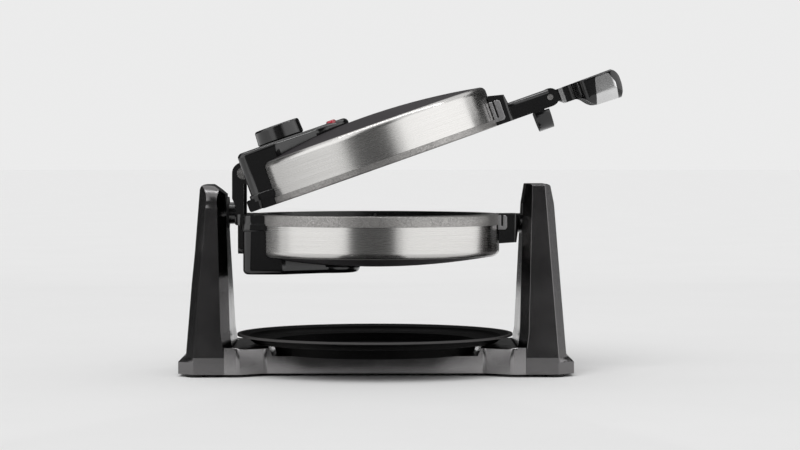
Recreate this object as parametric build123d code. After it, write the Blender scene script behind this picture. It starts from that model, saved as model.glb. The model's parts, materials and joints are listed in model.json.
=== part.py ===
from build123d import *
from math import atan2, cos, radians, sin, sqrt, tan
import os

# A rotating waffle maker: a round two-plate head held between two towers.
# Millimetres, +Z up, +X towards the handle, +Y to the hidden side.
# The origin lies on the table under the middle of the head.

# Head
axis_height = 135.0        # table to the flip axis, which lies in the parting plane
pan_radius = 105.4
pan_wall = 1.2
pan_side = 36.0            # parting plane to the shoulder of a pan
pan_crown = 9.0            # how far the pan's face domes out past its shoulder
pan_corner = 5.0
lower_rim_height = 9.5
upper_rim_height = 6.0
rim_radius = 106.2
rim_seat = 97.4            # bore of the rim, where the cooking plate sits
rim_round = 1.2
parting_gap = 0.4          # from the parting plane to each half
fit_gap = 0.2              # between pieces of one half
past_all = 400.0           # cuts that run right through reach this far

# Cooking plates
plate_land = 6.0           # flat edge round the cavity
cavity_depth = 12.0
plate_wall = 2.5
block_pitch = 16.0
block_foot = 12.0
block_height = 8.0
block_taper = 14.0
divider_height = 10.0
divider_foot = 7.0
divider_top = 2.0

# Heating elements
element_radius = 62.0
element_tube = 3.3
element_open = 24.0        # half of the gap in the ring, in degrees
terminal_length = 14.0

# Brackets that clasp the rear of each pan
bracket_rear = 109.6
bracket_half_width = 54.0
bracket_face = 50.0        # parting plane to the outer face
bracket_shoulder = -76.0   # where the sides start to run in towards the tongue
tongue_tip = -13.0
tongue_half_width = 27.0
bracket_round = 4.0
bracket_start = 1.0        # parting plane to the edge of the clasp round the rim
lip_start = 8.0            # lip that runs round the clasp
lip_end = 14.0
lip_proud = 1.6
heel_rear = 114.6          # the lid's clasp reaches further back beside the hinge
heel_height = 11.0

# Lid hinge
hinge_x = -110.5
hinge_rise = 34.0          # above the parting plane
lid_open = 19.5            # how far the lid stands open at rest
pin_radius = 3.0
pin_head_radius = 5.0
pin_head = 2.5
pin_clearance = 0.06
arm_inner = 21.7
arm_outer = 29.7
arm_head = 9.3
hinge_base_rear = 116.5
hinge_base_front = 96.0
hinge_base_half_width = 33.0
back_plate_rear = 114.8
back_plate_low = 33.5      # parting plane to the lower edge of the plate behind the bracket
knuckle_radius = 8.6
knuckle_gap = 0.3
knuckle_pad = 11.0
pocket_gap = 0.8

# Rear pivot
trunnion_radius = 9.2
trunnion_bore = 5.0
trunnion_running_gap = 0.05
trunnion_depth = 16.0      # how far it reaches into the rear tower
trunnion_flange_radius = 14.0
trunnion_flange = 1.8
bush_wall = 2.6
bush_flange = 1.6
bush_lip = 2.0             # how far the bush's flange stands out past its barrel
bush_end_gap = 1.0
seat_gap = 0.05            # between a pressed or seated piece and its bore

# Front pivot
lug_inner = 96.0
lug_face = 120.4
lug_half_width = 22.0
lug_lean = 1.3             # how far the top of a lug's end leans back
lug_lean_height = 8.7      # over this height
lug_corner = 3.0
lower_lug_height = 25.0
lower_lug_drop = 0.9       # how much lower a lug is at its end than beside the pan
upper_lug_face = 119.0
upper_lug_height = 26.4
upper_lug_drop = 3.0
journal_radius = 16.5
journal_split = 0.6        # gap between the two lower halves of the journal
journal_gap = 0.4
liner_wall = 2.0
liner_inset = 1.5

# Handle bar and folding grip
block_start = 137.5
block_end = 150.4
bar_half_width = 8.5       # flat sided, and inside the journal's circle
bar_top = 15.6
bar_round = 4.0
grip_axis_x = 155.0
grip_axis_rise = 8.2
fork_radius = 7.7
fork_inner = 4.4
tongue_half_height = 3.5   # of the grip's tongue, beyond its eye
grip_gap = 0.4
grip_tip = 214.2
grip_top = 13.5
grip_root_top = 12.6
grip_root_low = -0.6
grip_drop = -11.7
grip_root_lead = 10.7      # grip axis to where the underside starts
grip_root_eye = 5.5        # and to the inner end of the slant that leads there
grip_root_rise = 4.4       # that end, below the grip axis
grip_half_width = 29.0
grip_palm = 22.0           # tip to the inner end of the flat under the palm swell
grip_reach = 40.0          # tip to where the underside leaves the neck
grip_swell = 29.5          # tip to the middle of the curve between those two
grip_nose = 5.6            # tip to where the top starts to round over
grip_neck_half_width = 10.5
grip_corner = 8.0
grip_belly = 11.0          # round along the lower edges of the paddle
grip_edge = 2.5            # round along its upper edges
band_start = 163.2         # bright band round the root of the grip
band_end = 166.8
band_depth = 0.8
insert_start = 188.4
insert_end = 209.4
insert_lean = 6.0          # how much further forward the panel's upper end starts
insert_depth = 1.2
grip_pin_radius = 2.5

# Temperature dial and lamps
dial_x = -71.8
dial_radius = 20.2
dial_height = 13.0
dial_lift = 0.5
dial_shaft_radius = 3.0
dial_shaft_clearance = 0.3
thermostat_radius = 11.0
thermostat_foot_radius = 4.0
lamp_x = -27.0
lamp_offset = 17.6
lamp_radius = 4.2
lamp_gap = 0.05
lamp_proud = 1.6
lamp_seat = 3.0

# Towers
tower_foot_z = 2.4         # underside of the base above the table
tower_half_depth_foot = 60.0
tower_half_depth_axis = 33.0
tower_wall = 3.0
tower_corner_x = 7.0       # slanted corner of a tower's section, along X
tower_corner_y = 12.0      # and along Y
front_tower_crown = 25.2   # axis to the top of the tower
rear_tower_crown = 24.6
front_tower_corner = 9.0   # round shoulders in the end view
rear_tower_corner = 20.0
crown_taper = 1.5          # how much narrower the top gets above the axis
front_crown_round = 7.0    # outer top edge in the front view
rear_crown_round = 5.0
rear_crown_slope = 10.5    # the rear tower's top slopes down to the inside over this width
rear_crown_drop = 8.1
foot_flare = 6.4           # toe along the outer side
foot_flare_height = 12.4
tower_inner_foot = 118.0   # where towers and deck meet

# Deck between the towers
deck_top = 24.6
deck_half_depth = 46.0
deck_wall = 3.0
channel_floor = 16.7
facet_start = 4.5          # from where towers and deck meet to the slanted facets
facet_run = 22.0           # length of a facet along the deck
facet_wide = tower_inner_foot - facet_start
facet_narrow = facet_wide - facet_run
facet_round = 6.0
deck_edge = 1.6
bottom_plate_thickness = 2.0

# Rubber feet
foot_radius = 8.0
foot_reach = 31.5          # from where towers and deck meet to the middle of a foot
foot_y = 50.0

# Drip tray
tray_radius = 117.0
tray_rim_z = 33.2
tray_wall = 2.0
tray_floor_gap = 0.3
tray_floor_z = 19.6
well_radius = 87.0
well_lean = 3.0            # how much narrower the well is at its floor
well_room = 1.6            # from the well to the channel's walls
dish_radius = 105.5

# Cord gland
gland_radius = 8.0
gland_bore = 3.6
gland_length = 12.0
gland_height = 30.0
gland_lip = 2.5
gland_proud = 4.0

# Faces of the towers, as height and distance from where towers and deck meet
front_inner = [(16.3, 0.0), (36.0, 2.8), (76.0, 4.4), (104.0, 5.4), (axis_height, 6.4)]
front_outer = [(16.3, 41.4), (36.0, 40.2), (76.0, 37.6), (104.0, 35.6), (axis_height, 33.5)]
rear_inner = [(16.3, 0.0), (36.0, 3.0), (76.0, 4.8), (104.0, 6.0), (axis_height, 7.3)]
rear_outer = [(16.3, 39.4), (36.0, 38.1), (76.0, 35.4), (104.0, 33.0), (axis_height, 31.0)]


def save(shape, name):
    shape.label = name
    export_step(shape, f"parts/{name}.step")


def box_between(low, high):
    """A box given by its lowest and highest corners."""
    size = [h - l for l, h in zip(low, high)]
    middle = [(h + l) / 2 for l, h in zip(low, high)]
    return Pos(*middle) * Box(*size)


def rod_x(radius, start, end, y=0.0, z=0.0):
    """A round bar along X."""
    return Pos((start + end) / 2, y, z) * Rot(0, 90, 0) * Cylinder(radius, end - start)


def rod_y(radius, start, end, x=0.0, z=0.0):
    """A round bar along Y."""
    return Pos(x, (start + end) / 2, z) * Rot(90, 0, 0) * Cylinder(radius, end - start)


def rod_z(radius, start, end, x=0.0, y=0.0):
    """A round bar along Z."""
    return Pos(x, y, (start + end) / 2) * Cylinder(radius, end - start)


def turned(points_and_arcs):
    """A solid of revolution about Z from edges drawn in the XZ plane."""
    return revolve(make_face(points_and_arcs), Axis.Z)


# The head is drawn with the parting plane at Z = 0 and each half above it.
# The lower half is that drawing mirrored, and the lid is turned open last.

def lower(shape):
    return Pos(0, 0, axis_height) * mirror(shape, Plane.XY)


def upper_closed(shape):
    return Pos(0, 0, axis_height) * shape


def upper(shape):
    """Opens the lid about its hinge pin."""
    pivot = (hinge_x, 0, axis_height + hinge_rise)
    back = tuple(-v for v in pivot)
    return Pos(*pivot) * Rot(0, -lid_open, 0) * Pos(*back) * upper_closed(shape)


def pan_form(radius, side, crown, corner):
    """The outside or inside form of a pan: a drum with a domed face."""
    shoulder = radius - corner
    dome = (shoulder**2 + crown**2) / (2 * crown)
    half = shoulder / 2
    half_z = side + crown - (dome - sqrt(dome**2 - half**2))
    slant = corner * (1 - cos(radians(45)))
    edges = [
        Line((0, 0, 0), (radius, 0, 0)),
        Line((radius, 0, 0), (radius, 0, side - corner)),
        ThreePointArc(
            (radius, 0, side - corner),
            (radius - slant, 0, side - slant),
            (shoulder, 0, side),
        ),
        ThreePointArc((shoulder, 0, side), (half, 0, half_z), (0, 0, side + crown)),
        Line((0, 0, side + crown), (0, 0, 0)),
    ]
    return turned(edges)


def pan_outside(gap=0.0):
    return pan_form(pan_radius + gap, pan_side + gap, pan_crown, pan_corner + gap)


def pan_inside():
    return pan_form(pan_radius - pan_wall, pan_side - pan_wall, pan_crown, pan_corner - pan_wall)


def pan_top_z(x):
    """Height of the pan's outer face above the parting plane at a distance from its middle."""
    shoulder = pan_radius - pan_corner
    dome = (shoulder**2 + pan_crown**2) / (2 * pan_crown)
    return pan_side + pan_crown - (dome - sqrt(dome**2 - x**2))


def make_pan(rim_height):
    shell = pan_outside() - pan_inside()
    return shell - box_between(
        (-2 * pan_radius, -2 * pan_radius, -1), (2 * pan_radius, 2 * pan_radius, rim_height)
    )


def make_rim(height):
    """The cast frame ring that carries the cooking plate."""
    ring = rod_z(rim_radius, parting_gap, height - fit_gap / 2)
    ring = fillet(ring.edges().sort_by(Axis.Z)[:1], rim_round)
    return ring - rod_z(rim_seat, -1, height + 1)


def make_plate():
    """Cast cooking plate: a round cavity with rows of raised blocks and a dividing cross."""
    radius = rim_seat - fit_gap
    cavity_radius = radius - plate_land
    floor = parting_gap + cavity_depth
    plate = rod_z(radius, parting_gap, floor + plate_wall)
    plate -= extrude(
        Pos(0, 0, parting_gap) * Circle(cavity_radius), amount=cavity_depth, taper=8.0
    )
    skirt = rod_z(radius + 1, floor - 2, floor + plate_wall + 1)
    skirt -= rod_z(cavity_radius - 1, floor - 3, floor + plate_wall + 2)
    plate -= skirt
    reach = cavity_radius - cavity_depth * 0.14 - 2.0
    steps = int(reach // block_pitch) + 1
    places = []
    for i in range(-steps, steps):
        for j in range(-steps, steps):
            x, y = (i + 0.5) * block_pitch, (j + 0.5) * block_pitch
            corner = sqrt((abs(x) + block_foot / 2) ** 2 + (abs(y) + block_foot / 2) ** 2)
            if corner < reach:
                places.append((x, y))
    block = extrude(Rectangle(block_foot, block_foot), amount=block_height, taper=block_taper)
    block = mirror(block, Plane.XY)
    blocks = [Pos(x, y, floor) * block for x, y in places]
    ridge_section = Polyline(
        (0, -divider_foot / 2, floor),
        (0, -divider_top / 2, floor - divider_height),
        (0, divider_top / 2, floor - divider_height),
        (0, divider_foot / 2, floor),
        close=True,
    )
    ridge = extrude(make_face(ridge_section), amount=reach, dir=(1, 0, 0), both=True)
    return plate + blocks + [ridge, Rot(0, 0, 90) * ridge]


def make_element():
    """Tubular heater lying on the back of the plate, with its two ends turned to the rear."""
    z = parting_gap + cavity_depth + plate_wall + element_tube + fit_gap
    start = 180.0 + element_open
    ring = CenterArc((0, 0, z), element_radius, start, 360.0 - 2 * element_open)
    profile = Plane(origin=ring @ 0, z_dir=ring % 0) * Circle(element_tube)
    tube = sweep(profile, path=ring)
    ends = []
    for side in (1, -1):
        x = -element_radius * cos(radians(element_open))
        y = side * element_radius * sin(radians(element_open))
        ends.append(rod_x(element_tube * 0.5, x - terminal_length, x, y, z))
    return tube + ends


def bracket_outline():
    """Plan of a bracket: a clasp round the rear of the pan that runs in to a round tongue."""
    tip_centre = tongue_tip - tongue_half_width
    rear = -bracket_rear
    return make_face([
        Line((rear, -bracket_half_width), (bracket_shoulder, -bracket_half_width)),
        Line((bracket_shoulder, -bracket_half_width), (tip_centre, -tongue_half_width)),
        ThreePointArc(
            (tip_centre, -tongue_half_width), (tongue_tip, 0), (tip_centre, tongue_half_width)
        ),
        Line((tip_centre, tongue_half_width), (bracket_shoulder, bracket_half_width)),
        Line((bracket_shoulder, bracket_half_width), (rear, bracket_half_width)),
        Line((rear, bracket_half_width), (rear, -bracket_half_width)),
    ])


def make_bracket(rim_height):
    """Housing that clasps the rear of a pan and its rim, and runs out along its face as a tongue."""
    body = extrude(Pos(0, 0, bracket_start) * bracket_outline(), amount=bracket_face - bracket_start)
    body = fillet(body.edges().filter_by(Axis.Z), 7.0)
    body = fillet(body.faces().sort_by(Axis.Z)[-1].edges(), bracket_round)
    lip = box_between(
        (-bracket_rear - lip_proud, -bracket_half_width - lip_proud, lip_start),
        (bracket_shoulder, bracket_half_width + lip_proud, lip_end),
    )
    lip = fillet(lip.edges().filter_by(Axis.Z).sort_by(Axis.X)[:2], 7.0 + lip_proud)
    lip = fillet(lip.faces().sort_by(Axis.Z)[-1].edges().sort_by(Axis.X)[:-1], lip_proud * 0.7)
    clasp = body + lip
    rim_room = rod_z(rim_radius + fit_gap, 0, rim_height + fit_gap)
    return clasp - rim_room - pan_outside(fit_gap)


def make_lower_bracket():
    """Its clasp is cut away for the base of the hinge arms and their back plate."""
    bracket = make_bracket(lower_rim_height)
    wide = hinge_base_half_width + fit_gap
    base_room = box_between(
        (-past_all, -wide, 0), (-hinge_base_front + fit_gap, wide, lower_rim_height + fit_gap)
    )
    plate_room = box_between(
        (-past_all, -wide, 0), (-bracket_rear - fit_gap, wide, back_plate_low + fit_gap)
    )
    return bracket - base_room - plate_room


def hinge_pockets():
    """Room in the lid for the knuckle, the heads of the two hinge arms and the pin's heads."""
    near, far = arm_inner - knuckle_gap, arm_outer + pocket_gap
    end = arm_outer + pin_head + pocket_gap
    rooms = [knuckle_form(fit_gap)]
    for side in (1, -1):
        arm_low, arm_high = sorted((side * near, side * far))
        head_low, head_high = sorted((side * arm_inner, side * end))
        rooms.append(rod_y(arm_head + pocket_gap, arm_low, arm_high, hinge_x, hinge_rise))
        rooms.append(rod_y(pin_head_radius + pocket_gap, head_low, head_high, hinge_x, hinge_rise))
    return rooms


def make_upper_bracket():
    """The lid's bracket has heels beside the hinge, and holes for the dial's shaft and the lamps."""
    wide = hinge_base_half_width + lip_proud
    bracket = make_bracket(upper_rim_height)
    bracket -= box_between((-past_all, -wide, 0), (-bracket_rear, wide, bracket_face))
    for side in (1, -1):
        near, far = sorted((side * wide, side * bracket_half_width))
        heel = box_between((-heel_rear, near, bracket_start), (-bracket_rear + 4, far, heel_height))
        heel = fillet(heel.edges().filter_by(Axis.Y).sort_by(Axis.X)[:2], 2.0)
        bracket += heel - rod_z(rim_radius + fit_gap, 0, bracket_face)
    for room in hinge_pockets():
        bracket -= room
    bracket -= rod_z(dial_shaft_radius + dial_shaft_clearance, 0, bracket_face + 1, dial_x)
    for side in (1, -1):
        bracket -= rod_z(lamp_radius, bracket_face - lamp_seat, bracket_face + 1,
                         lamp_x, side * lamp_offset)
    return bracket


def make_upper_pan():
    pan = make_pan(upper_rim_height)
    for room in hinge_pockets():
        pan -= room
    return pan - rod_z(dial_shaft_radius + dial_shaft_clearance, 0, bracket_face, dial_x)


def knuckle_form(gap=0.0):
    """Barrel round the hinge pin, backed by a pad that is let into the bracket and the pan."""
    reach = arm_inner - knuckle_gap
    barrel = rod_y(knuckle_radius + gap, -reach, reach, hinge_x, hinge_rise)
    pad = box_between(
        (hinge_x, -reach, hinge_rise - knuckle_radius - gap),
        (hinge_x + knuckle_pad + gap, reach, hinge_rise + knuckle_radius + gap),
    )
    return barrel + pad


def make_knuckle():
    return knuckle_form() - rod_y(
        pin_radius + pin_clearance, -arm_outer, arm_outer, hinge_x, hinge_rise
    )


def make_hinge_arms():
    """Drawn with the parting plane at Z = 0 and Z up: a base lug with two upright arms."""
    base = box_between(
        (-hinge_base_rear, -hinge_base_half_width, -lower_rim_height),
        (-hinge_base_front, hinge_base_half_width, -parting_gap),
    )
    base = fillet(base.edges().filter_by(Axis.Z).sort_by(Axis.X)[:2], 4.0)
    base -= rod_z(rim_radius + fit_gap, -20, 20)
    plate = box_between(
        (-back_plate_rear, -hinge_base_half_width, -back_plate_low),
        (-bracket_rear - 2 * fit_gap, hinge_base_half_width, -lower_rim_height),
    )
    base += fillet(plate.edges().filter_by(Axis.X).sort_by(Axis.Z)[:2], 5.0)
    rear_x = hinge_x - arm_head
    front_x = -bracket_rear - 0.6
    arms = []
    for side in (1, -1):
        near, far = sorted((side * arm_inner, side * arm_outer))
        head = rod_y(arm_head, near, far, hinge_x, hinge_rise)
        outline = Polyline(
            (front_x, near, -lower_rim_height),
            (front_x, near, hinge_rise),
            (rear_x, near, hinge_rise),
            (rear_x, near, 13.0),
            (-hinge_base_rear, near, 5.0),
            (-hinge_base_rear, near, -lower_rim_height),
            close=True,
        )
        shank = extrude(make_face(outline), amount=far - near, dir=(0, 1, 0))
        arms.append(head + shank)
    whole = base + arms
    return whole - rod_y(pin_radius + pin_clearance, -past_all, past_all, hinge_x, hinge_rise)


def make_hinge_pin():
    pin = rod_y(pin_radius, -arm_outer - 0.2, arm_outer + 0.2, hinge_x, hinge_rise)
    heads = [
        rod_y(pin_head_radius, arm_outer + 0.2, arm_outer + pin_head, hinge_x, hinge_rise),
        rod_y(pin_head_radius, -arm_outer - pin_head, -arm_outer - 0.2, hinge_x, hinge_rise),
    ]
    return pin + heads


def make_trunnion():
    """Hollow rear pivot that the wiring passes through. It lies on the flip axis."""
    tip = -(tower_x(rear_inner, axis_height) + trunnion_depth - bush_end_gap)
    shaft = rod_x(trunnion_radius, tip, -hinge_base_rear)
    flange = rod_x(trunnion_flange_radius, -hinge_base_rear - trunnion_flange, -hinge_base_rear)
    flange &= box_between((-past_all, -past_all, -lower_rim_height), (0, past_all, past_all))
    return shaft + flange - rod_x(trunnion_bore, tip - 1, 0)


def make_lug(face, height, drop):
    """Block on the front of a pan that carries the front pivot, lower at its end by the drop."""
    end = height - drop
    side_view = Polyline(
        (lug_inner, 0, parting_gap), (face, 0, parting_gap), (face, 0, end - lug_lean_height),
        (face - lug_lean, 0, end), (pan_radius, 0, height), (lug_inner, 0, height),
        close=True,
    )
    block = extrude(make_face(side_view), amount=lug_half_width, dir=(0, 1, 0), both=True)
    block = fillet(block.edges().filter_by(Axis.Z).sort_by(Axis.X)[2:], lug_corner)
    return block - rod_z(rim_radius + fit_gap, 0, pan_side + 20)


def half_round(radius, start, end, below):
    """Half of a round bar along X, above or below the parting plane."""
    bar = rod_x(radius, start, end)
    if below:
        return bar & box_between((start, -radius, -radius), (end, radius, -parting_gap))
    return bar & box_between((start, -radius, parting_gap), (end, radius, radius))


def make_front_journal():
    """Lower half of the round journal that turns in the front tower's cradle."""
    return half_round(journal_radius, lug_face, block_start - journal_split, below=True)


def bar_section():
    """Section of the bar above the parting plane, inside the journal's circle."""
    outline = Rectangle(2 * bar_half_width, 2 * bar_top)
    outline = fillet(outline.vertices(), bar_round)
    upper_half = Pos(0, (bar_top + parting_gap) / 2) * Rectangle(2 * journal_radius, bar_top - parting_gap)
    return Plane.YZ * (outline & upper_half)


def make_handle_bar():
    """Flat-sided bar with the end of the journal's lower half under it, and a slot for the grip."""
    bar = Pos(upper_lug_face, 0, 0) * extrude(bar_section(), amount=grip_axis_x - upper_lug_face)
    bar += rod_y(fork_radius, -bar_half_width, bar_half_width, grip_axis_x, grip_axis_rise) & (
        box_between((grip_axis_x, -bar_half_width, -bar_top), (grip_tip, bar_half_width, bar_top))
    )
    block = half_round(journal_radius, block_start, block_end, below=True)
    join = box_between(
        (block_start, -bar_half_width, -parting_gap - 0.1),
        (grip_axis_x - fork_radius - grip_gap, bar_half_width, parting_gap + 0.1),
    )
    slot = rod_y(fork_radius + grip_gap, -fork_inner, fork_inner, grip_axis_x, grip_axis_rise)
    slot += box_between(
        (grip_axis_x, -fork_inner, -parting_gap), (grip_tip, fork_inner, bar_top + 1)
    )
    whole = bar + [block, join] - slot
    return whole - make_grip_pin()


def make_grip_pin():
    return rod_y(grip_pin_radius, -bar_half_width, bar_half_width, grip_axis_x, grip_axis_rise)


def grip_profile(inset=0.0):
    """Side view of the grip: nearly level top, nosed end, and an underside that drops into a palm swell."""
    start, eye = grip_axis_x, grip_axis_rise - grip_root_rise
    low, top, tip = grip_drop + inset, grip_top - inset, grip_tip - inset
    root_low, root_top = grip_root_low + inset, grip_root_top - inset
    return [
        Line((start, 0, root_top), (tip - grip_nose, 0, top)),
        ThreePointArc((tip - grip_nose, 0, top), (tip - 1.4, 0, top - 4.0), (tip, 0, 3.2)),
        ThreePointArc((tip, 0, 3.2), (tip - 0.8, 0, -5.0), (tip - 3.5, 0, low)),
        Line((tip - 3.5, 0, low), (tip - grip_palm, 0, low + 0.6)),
        Spline(
            (tip - grip_palm, 0, low + 0.6),
            (tip - grip_swell, 0, low + 4.0),
            (tip - grip_reach, 0, root_low),
            tangents=[(-1, 0, 0.03), (-1, 0, 0)],
        ),
        Line((tip - grip_reach, 0, root_low), (start + grip_root_lead + inset, 0, root_low)),
        Line(
            (start + grip_root_lead + inset, 0, root_low), (start + grip_root_eye + inset, 0, eye)
        ),
        Line((start + grip_root_eye + inset, 0, eye), (start, 0, eye)),
        Line((start, 0, eye), (start, 0, root_top)),
    ]


def grip_plan(half_width, neck_half_width):
    """Plan of the grip: a neck that widens into a paddle."""
    neck = grip_axis_x + 14.0
    wide = grip_tip - 27.0
    edges = [
        Line((grip_axis_x, -neck_half_width), (grip_axis_x, neck_half_width)),
        Line((grip_tip + 1, half_width), (grip_tip + 1, -half_width)),
    ]
    for side in (1, -1):
        edges += [
            Line((grip_axis_x, side * neck_half_width), (neck, side * neck_half_width)),
            Spline(
                (neck, side * neck_half_width), (wide, side * half_width),
                tangents=[(1, 0), (1, 0)],
            ),
            Line((wide, side * half_width), (grip_tip + 1, side * half_width)),
        ]
    return edges


def grip_form(inset=0.0):
    """Paddle where the side view, the plan and the rounded end view all meet."""
    body = extrude(make_face(grip_profile(inset)), amount=grip_half_width + 2, dir=(0, 1, 0), both=True)
    outline = make_face(grip_plan(grip_half_width - inset, grip_neck_half_width - inset))
    outline = fillet(outline.vertices().sort_by(Axis.X)[-2:], grip_corner)
    body &= extrude(Pos(0, 0, -30) * outline, amount=80)
    low, top = grip_drop + inset, grip_top - inset
    end_view = Pos(0, (low + top) / 2) * Rectangle(2 * (grip_half_width - inset), top - low)
    end_view = fillet(end_view.vertices().sort_by(Axis.Y)[:2], grip_belly - inset)
    end_view = fillet(end_view.vertices().sort_by(Axis.Y)[-2:], grip_edge - inset * 0.8)
    return body & extrude(Plane.YZ * end_view, amount=grip_tip + 20)


def insert_form(side):
    """Side panel let into the end of the grip. It follows the round of the grip's lower edge."""
    low, high = grip_drop - 1, grip_top - 1.4
    outline = make_face(Polyline(
        (insert_start, 0, low), (insert_end - 1.5, 0, low), (insert_end, 0, 2.0),
        (insert_end - 3.5, 0, high), (insert_start + insert_lean, 0, high),
        close=True,
    ))
    outline = fillet(outline.vertices().sort_by(Axis.Z)[2:], 3.0)
    lowest = grip_half_width - grip_belly + 2.0
    near, far = sorted((side * lowest, side * (grip_half_width + 1)))
    sheet = extrude(Pos(0, near, 0) * outline, amount=far - near, dir=(0, 1, 0))
    return (sheet & grip_form()) - grip_form(insert_depth)


def band_form():
    """Bright band let in round the root of the grip."""
    slab = box_between(
        (band_start, -grip_half_width, grip_drop), (band_end, grip_half_width, grip_top + 1)
    )
    return (slab & grip_form()) - grip_form(band_depth)


def make_grip():
    """The paddle is hollowed round the fork's eye, and its tongue turns on the pin."""
    body = grip_form() - rod_y(
        fork_radius + grip_gap, -grip_half_width, grip_half_width, grip_axis_x, grip_axis_rise
    )
    for side in (1, -1):
        body -= insert_form(side)
    body -= band_form()
    tongue_width = fork_inner - grip_gap
    tongue = rod_y(fork_radius, -tongue_width, tongue_width, grip_axis_x, grip_axis_rise)
    tongue += box_between(
        (grip_axis_x, -tongue_width, grip_axis_rise - tongue_half_height),
        (band_end, tongue_width, grip_axis_rise + tongue_half_height),
    )
    tongue -= rod_y(
        grip_pin_radius + pin_clearance, -bar_half_width, bar_half_width, grip_axis_x, grip_axis_rise
    )
    return body + tongue


def make_dial():
    """Temperature knob with a bevelled top and a raised pointer bar."""
    z0 = bracket_face + dial_lift
    top = z0 + dial_height
    edges = [
        Line((0, 0, z0), (dial_radius - 1.2, 0, z0)),
        Line((dial_radius - 1.2, 0, z0), (dial_radius, 0, z0 + 1.2)),
        Line((dial_radius, 0, z0 + 1.2), (dial_radius - 0.6, 0, top - 2.0)),
        ThreePointArc(
            (dial_radius - 0.6, 0, top - 2.0),
            (dial_radius - 1.1, 0, top - 0.6),
            (dial_radius - 2.6, 0, top),
        ),
        Line((dial_radius - 2.6, 0, top), (dial_radius - 5.0, 0, top - 1.0)),
        Line((dial_radius - 5.0, 0, top - 1.0), (0, 0, top - 1.0)),
        Line((0, 0, top - 1.0), (0, 0, z0)),
    ]
    knob = turned(edges)
    pointer = box_between((3.0, -1.3, top - 1.2), (dial_radius - 4.0, 1.3, top))
    return Pos(dial_x, 0, 0) * (knob + pointer)


def make_dial_shaft():
    low = thermostat_top()
    return rod_z(dial_shaft_radius, low + fit_gap, bracket_face + dial_lift, dial_x)


def thermostat_top():
    return pan_top_z(dial_x - thermostat_radius) - pan_wall - fit_gap - 0.4


def make_thermostat():
    """Thermostat under the dial, with a sensing foot that reaches the back of the plate."""
    plate_back = parting_gap + cavity_depth + plate_wall
    top = thermostat_top()
    body = rod_z(thermostat_radius, top - 11.0, top, dial_x)
    return body + rod_z(thermostat_foot_radius, plate_back + fit_gap, top - 11.0, dial_x)


def make_lamp(side):
    """Domed lens of an indicator lamp, seated in the tongue."""
    lens = rod_z(lamp_radius - lamp_gap, bracket_face - lamp_seat, bracket_face + lamp_proud)
    lens = fillet(lens.edges().sort_by(Axis.Z)[-1:], lamp_proud)
    return Pos(lamp_x, side * lamp_offset, 0) * lens


def tower_x(line, z):
    """A tower's inner or outer face at a height. Below its first height the face is upright."""
    z = max(z, line[0][0])
    for (z0, x0), (z1, x1) in zip(line, line[1:]):
        if z <= z1 or (z1, x1) == line[-1]:
            return tower_inner_foot + x0 + (x1 - x0) * (z - z0) / (z1 - z0)


def tower_half_depth(z):
    low_z = front_outer[0][0]
    share = max(z - low_z, 0) / (axis_height - low_z)
    return tower_half_depth_foot + (tower_half_depth_axis - tower_half_depth_foot) * share


def tower_section(inner, outer, z, inset=0.0, flare=0.0):
    """Horizontal section of a tower: a rectangle with long slanted corners, and a toe outwards."""
    x0, x1 = tower_x(inner, z) + inset, tower_x(outer, z) - inset
    y = tower_half_depth(z) - inset
    cx, cy = tower_corner_x, tower_corner_y
    points = [
        (x0, -y + cy), (x0 + cx, -y), (x1 - cx, -y), (x1 + flare, -y + cy),
        (x1 + flare, y - cy), (x1 - cx, y), (x0 + cx, y), (x0, y - cy),
    ]
    return Pos(0, 0, z) * make_face(Polyline(*points, close=True))


def tower_shaft(inner, outer, top, inset=0.0):
    """The tapering shaft of a tower, through its sections from the lowest named height."""
    heights = [z for z, _ in outer if z < top - 1] + [top]
    return [tower_section(inner, outer, z, inset) for z in heights]


def tower_end_view(crown, corner):
    """End view of a tower, tapering up to a top with rounded corners."""
    low = front_outer[0][0]
    top = axis_height + crown
    side = tower_half_depth_axis - crown_taper
    slant = corner * (1 - cos(radians(45)))
    half = [
        (tower_half_depth_foot, tower_foot_z), (tower_half_depth_foot, low),
        (tower_half_depth_axis, axis_height), (side, top - corner),
    ]
    edges = [
        Line((0, -tower_half_depth_foot, tower_foot_z), (0, tower_half_depth_foot, tower_foot_z)),
        Line((0, side - corner, top), (0, corner - side, top)),
    ]
    for sign in (1, -1):
        points = [(0, sign * y, z) for y, z in half]
        edges += [Line(a, b) for a, b in zip(points, points[1:])]
        edges.append(
            ThreePointArc(
                points[-1],
                (0, sign * (side - slant), top - slant),
                (0, sign * (side - corner), top),
            )
        )
    return extrude(make_face(edges), amount=past_all, dir=(1, 0, 0))


def crown_round(outer, top, radius):
    """What is taken off to round a tower's outer top edge in the front view."""
    low_x, top_x = tower_x(outer, top - radius), tower_x(outer, top) - radius
    middle = (
        top_x + (low_x - top_x) * cos(radians(45)), 0, top - radius + radius * sin(radians(45))
    )
    outside = low_x + radius
    return extrude(
        make_face([
            ThreePointArc((low_x, 0, top - radius), middle, (top_x, 0, top)),
            Line((top_x, 0, top), (top_x, 0, top + radius)),
            Line((top_x, 0, top + radius), (outside, 0, top + radius)),
            Line((outside, 0, top + radius), (outside, 0, top - radius)),
            Line((outside, 0, top - radius), (low_x, 0, top - radius)),
        ]),
        amount=past_all, dir=(0, 1, 0), both=True,
    )


def rear_slope(top):
    """What is taken off to slope the rear tower's top down towards the head."""
    x = tower_x(rear_inner, top)
    low = top - rear_crown_drop
    outline = Polyline(
        (x + rear_crown_slope, 0, top), (x, 0, low), (0, 0, low), (0, 0, top + rear_crown_drop),
        (x + rear_crown_slope, 0, top + rear_crown_drop),
        close=True,
    )
    return extrude(make_face(outline), amount=past_all, dir=(0, 1, 0), both=True)


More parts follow.
